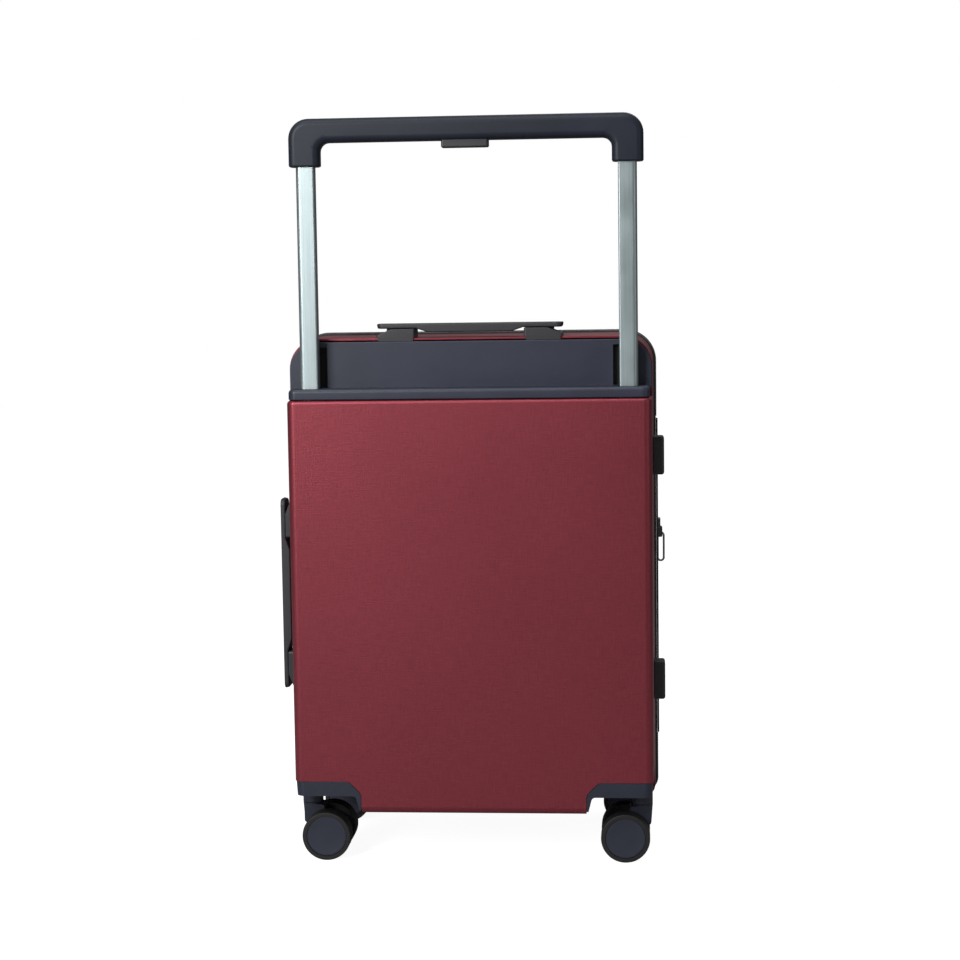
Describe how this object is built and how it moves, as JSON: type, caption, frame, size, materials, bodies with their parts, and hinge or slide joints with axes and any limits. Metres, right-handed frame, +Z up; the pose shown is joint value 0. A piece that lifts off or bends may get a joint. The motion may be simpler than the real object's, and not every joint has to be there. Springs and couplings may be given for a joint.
{
  "type": "hard shell suitcase",
  "caption": "Expandable hard shell cabin suitcase with twin-wheel casters, a wide two-stage trolley handle and sprung carry handles.",
  "frame": {"origin": "on the floor, midway across the case and midway through its depth", "axes": "+Z up, +X across the case towards the lid hinge, -Y the back with the trolley"},
  "size_m": [0.3926, 0.24, 0.754],
  "materials": {
    "shell_red": "satin metallic burgundy with a faint cross hatched texture",
    "navy_plastic": "satin moulded",
    "charcoal_plastic": "matte moulded",
    "tube_aluminium": "satin grey anodised",
    "steel_hardware": "gunmetal plated",
    "wheel_tyre": "matte black tread with a navy hub disc",
    "zip_tape": "woven black tape",
    "lining_fabric": "plain woven grey lining"
  },
  "bodies": {
    "case_back": {"back_shell": "shell_red", "trolley_bezel": "navy_plastic", "outer_tube_left": "tube_aluminium", "outer_tube_right": "tube_aluminium", "trolley_foot": "charcoal_plastic", "back_lining": "lining_fabric", "main_zip_back": "zip_tape", "hinge_tape": "zip_tape", "top_handle_mount_left": "charcoal_plastic", "top_handle_mount_right": "charcoal_plastic", "side_handle_mount_upper": "charcoal_plastic", "side_handle_mount_lower": "charcoal_plastic", "lock_body": "charcoal_plastic", "wheel_housing_back_left": "navy_plastic", "wheel_housing_back_right": "navy_plastic", "side_foot_lower": "charcoal_plastic", "side_foot_upper": "charcoal_plastic"},
    "mid_band": {"mid_band": "charcoal_plastic", "main_zip_front": "zip_tape", "expansion_gusset": "zip_tape"},
    "case_front": {"front_shell": "shell_red", "front_lining": "lining_fabric", "expansion_zip_front": "zip_tape", "wheel_housing_front_left": "navy_plastic", "wheel_housing_front_right": "navy_plastic"},
    "trolley_middle": {"middle_tube_left": "tube_aluminium", "middle_tube_right": "tube_aluminium"},
    "trolley_inner": {"inner_tube_left": "tube_aluminium", "inner_tube_right": "tube_aluminium", "grip": "navy_plastic"},
    "grip_button": {"grip_button": "charcoal_plastic", "push_rods": "steel_hardware"},
    "top_handle": {"top_handle": "charcoal_plastic"},
    "side_handle": {"side_handle": "charcoal_plastic"},
    "lock_dial_1": {"lock_dial_1": "steel_hardware"},
    "lock_dial_2": {"lock_dial_2": "steel_hardware"},
    "lock_dial_3": {"lock_dial_3": "steel_hardware"},
    "lock_button": {"lock_button": "steel_hardware"},
    "main_slider_upper": {"main_slider_upper": "steel_hardware"},
    "main_slider_lower": {"main_slider_lower": "steel_hardware"},
    "expansion_slider": {"expansion_slider": "steel_hardware"},
    "expansion_pull": {"expansion_pull": "steel_hardware"},
    "caster_back_left": {"caster_fork_back_left": "navy_plastic", "caster_axle_back_left": "steel_hardware"},
    "wheel_back_left_outer": {"wheel_back_left_outer": "wheel_tyre"},
    "wheel_back_left_inner": {"wheel_back_left_inner": "wheel_tyre"},
    "caster_back_right": {"caster_fork_back_right": "navy_plastic", "caster_axle_back_right": "steel_hardware"},
    "wheel_back_right_outer": {"wheel_back_right_outer": "wheel_tyre"},
    "wheel_back_right_inner": {"wheel_back_right_inner": "wheel_tyre"},
    "caster_front_left": {"caster_fork_front_left": "navy_plastic", "caster_axle_front_left": "steel_hardware"},
    "wheel_front_left_outer": {"wheel_front_left_outer": "wheel_tyre"},
    "wheel_front_left_inner": {"wheel_front_left_inner": "wheel_tyre"},
    "caster_front_right": {"caster_fork_front_right": "navy_plastic", "caster_axle_front_right": "steel_hardware"},
    "wheel_front_right_outer": {"wheel_front_right_outer": "wheel_tyre"},
    "wheel_front_right_inner": {"wheel_front_right_inner": "wheel_tyre"}
  },
  "joints": [
    {"name": "lid_hinge", "type": "hinge", "parent": "case_back", "child": "mid_band", "pos_m": [0.199, -0.004, 0.295], "axis": [0, 0, -1], "range_deg": [0, 150]},
    {"name": "expansion_slide", "type": "slide", "parent": "mid_band", "child": "case_front", "axis": [0, 1, 0], "range_m": [0, 0.03]},
    {"name": "trolley_middle_slide", "type": "slide", "parent": "case_back", "child": "trolley_middle", "axis": [0, 0, 1], "range_m": [0, 0.215]},
    {"name": "trolley_inner_slide", "type": "slide", "parent": "trolley_middle", "child": "trolley_inner", "axis": [0, 0, 1], "range_m": [-0.219, 0]},
    {"name": "grip_button_press", "type": "slide", "parent": "trolley_inner", "child": "grip_button", "axis": [0, 0, 1], "range_m": [0, 0.004], "stiffness_N_per_m": 400, "springref_m": -0.004},
    {"name": "top_handle_lift", "type": "slide", "parent": "case_back", "child": "top_handle", "axis": [0, 0, 1], "range_m": [0, 0.012], "stiffness_N_per_m": 300, "springref_m": -0.006},
    {"name": "side_handle_lift", "type": "slide", "parent": "case_back", "child": "side_handle", "axis": [-1, 0, 0], "range_m": [0, 0.012], "stiffness_N_per_m": 300, "springref_m": -0.006},
    {"name": "lock_button_press", "type": "slide", "parent": "case_back", "child": "lock_button", "axis": [1, 0, 0], "range_m": [0, 0.0015], "stiffness_N_per_m": 500, "springref_m": -0.001},
    {"name": "main_slider_upper_run", "type": "slide", "parent": "case_back", "child": "main_slider_upper", "axis": [0, 0, 1], "range_m": [0, 0.03]},
    {"name": "main_slider_lower_run", "type": "slide", "parent": "case_back", "child": "main_slider_lower", "axis": [0, 0, -1], "range_m": [0, 0.3]},
    {"name": "expansion_slider_run", "type": "slide", "parent": "mid_band", "child": "expansion_slider", "axis": [0, 0, 1], "range_m": [-0.22, 0.14]},
    {"name": "expansion_pull_swing", "type": "hinge", "parent": "expansion_slider", "child": "expansion_pull", "pos_m": [0.1916, 0.0146, 0.322], "axis": [0, 1, 0], "range_deg": [-110, 0]},
    {"name": "lock_dial_1_turn", "type": "hinge", "parent": "case_back", "child": "lock_dial_1", "pos_m": [-0.1815, -0.03, 0.4128], "axis": [0, 0, 1], "continuous": true},
    {"name": "lock_dial_2_turn", "type": "hinge", "parent": "case_back", "child": "lock_dial_2", "pos_m": [-0.1815, -0.03, 0.4208], "axis": [0, 0, 1], "continuous": true},
    {"name": "lock_dial_3_turn", "type": "hinge", "parent": "case_back", "child": "lock_dial_3", "pos_m": [-0.1815, -0.03, 0.4288], "axis": [0, 0, 1], "continuous": true},
    {"name": "caster_back_left_swivel", "type": "hinge", "parent": "case_back", "child": "caster_back_left", "pos_m": [-0.171, -0.0755, 0.065], "axis": [0, 0, 1], "continuous": true},
    {"name": "wheel_back_left_outer_roll", "type": "hinge", "parent": "caster_back_left", "child": "wheel_back_left_outer", "pos_m": [-0.1535, -0.0755, 0.025], "axis": [0, 1, 0], "continuous": true},
    {"name": "wheel_back_left_inner_roll", "type": "hinge", "parent": "caster_back_left", "child": "wheel_back_left_inner", "pos_m": [-0.1535, -0.0755, 0.025], "axis": [0, 1, 0], "continuous": true},
    {"name": "caster_back_right_swivel", "type": "hinge", "parent": "case_back", "child": "caster_back_right", "pos_m": [0.171, -0.0755, 0.065], "axis": [0, 0, 1], "continuous": true},
    {"name": "wheel_back_right_outer_roll", "type": "hinge", "parent": "caster_back_right", "child": "wheel_back_right_outer", "pos_m": [0.1535, -0.0755, 0.025], "axis": [0, 1, 0], "continuous": true},
    {"name": "wheel_back_right_inner_roll", "type": "hinge", "parent": "caster_back_right", "child": "wheel_back_right_inner", "pos_m": [0.1535, -0.0755, 0.025], "axis": [0, 1, 0], "continuous": true},
    {"name": "caster_front_left_swivel", "type": "hinge", "parent": "case_front", "child": "caster_front_left", "pos_m": [-0.171, 0.0755, 0.065], "axis": [0, 0, 1], "continuous": true},
    {"name": "wheel_front_left_outer_roll", "type": "hinge", "parent": "caster_front_left", "child": "wheel_front_left_outer", "pos_m": [-0.1535, 0.0755, 0.025], "axis": [0, 1, 0], "continuous": true},
    {"name": "wheel_front_left_inner_roll", "type": "hinge", "parent": "caster_front_left", "child": "wheel_front_left_inner", "pos_m": [-0.1535, 0.0755, 0.025], "axis": [0, 1, 0], "continuous": true},
    {"name": "caster_front_right_swivel", "type": "hinge", "parent": "case_front", "child": "caster_front_right", "pos_m": [0.171, 0.0755, 0.065], "axis": [0, 0, 1], "continuous": true},
    {"name": "wheel_front_right_outer_roll", "type": "hinge", "parent": "caster_front_right", "child": "wheel_front_right_outer", "pos_m": [0.1535, 0.0755, 0.025], "axis": [0, 1, 0], "continuous": true},
    {"name": "wheel_front_right_inner_roll", "type": "hinge", "parent": "caster_front_right", "child": "wheel_front_right_inner", "pos_m": [0.1535, 0.0755, 0.025], "axis": [0, 1, 0], "continuous": true}
  ]
}
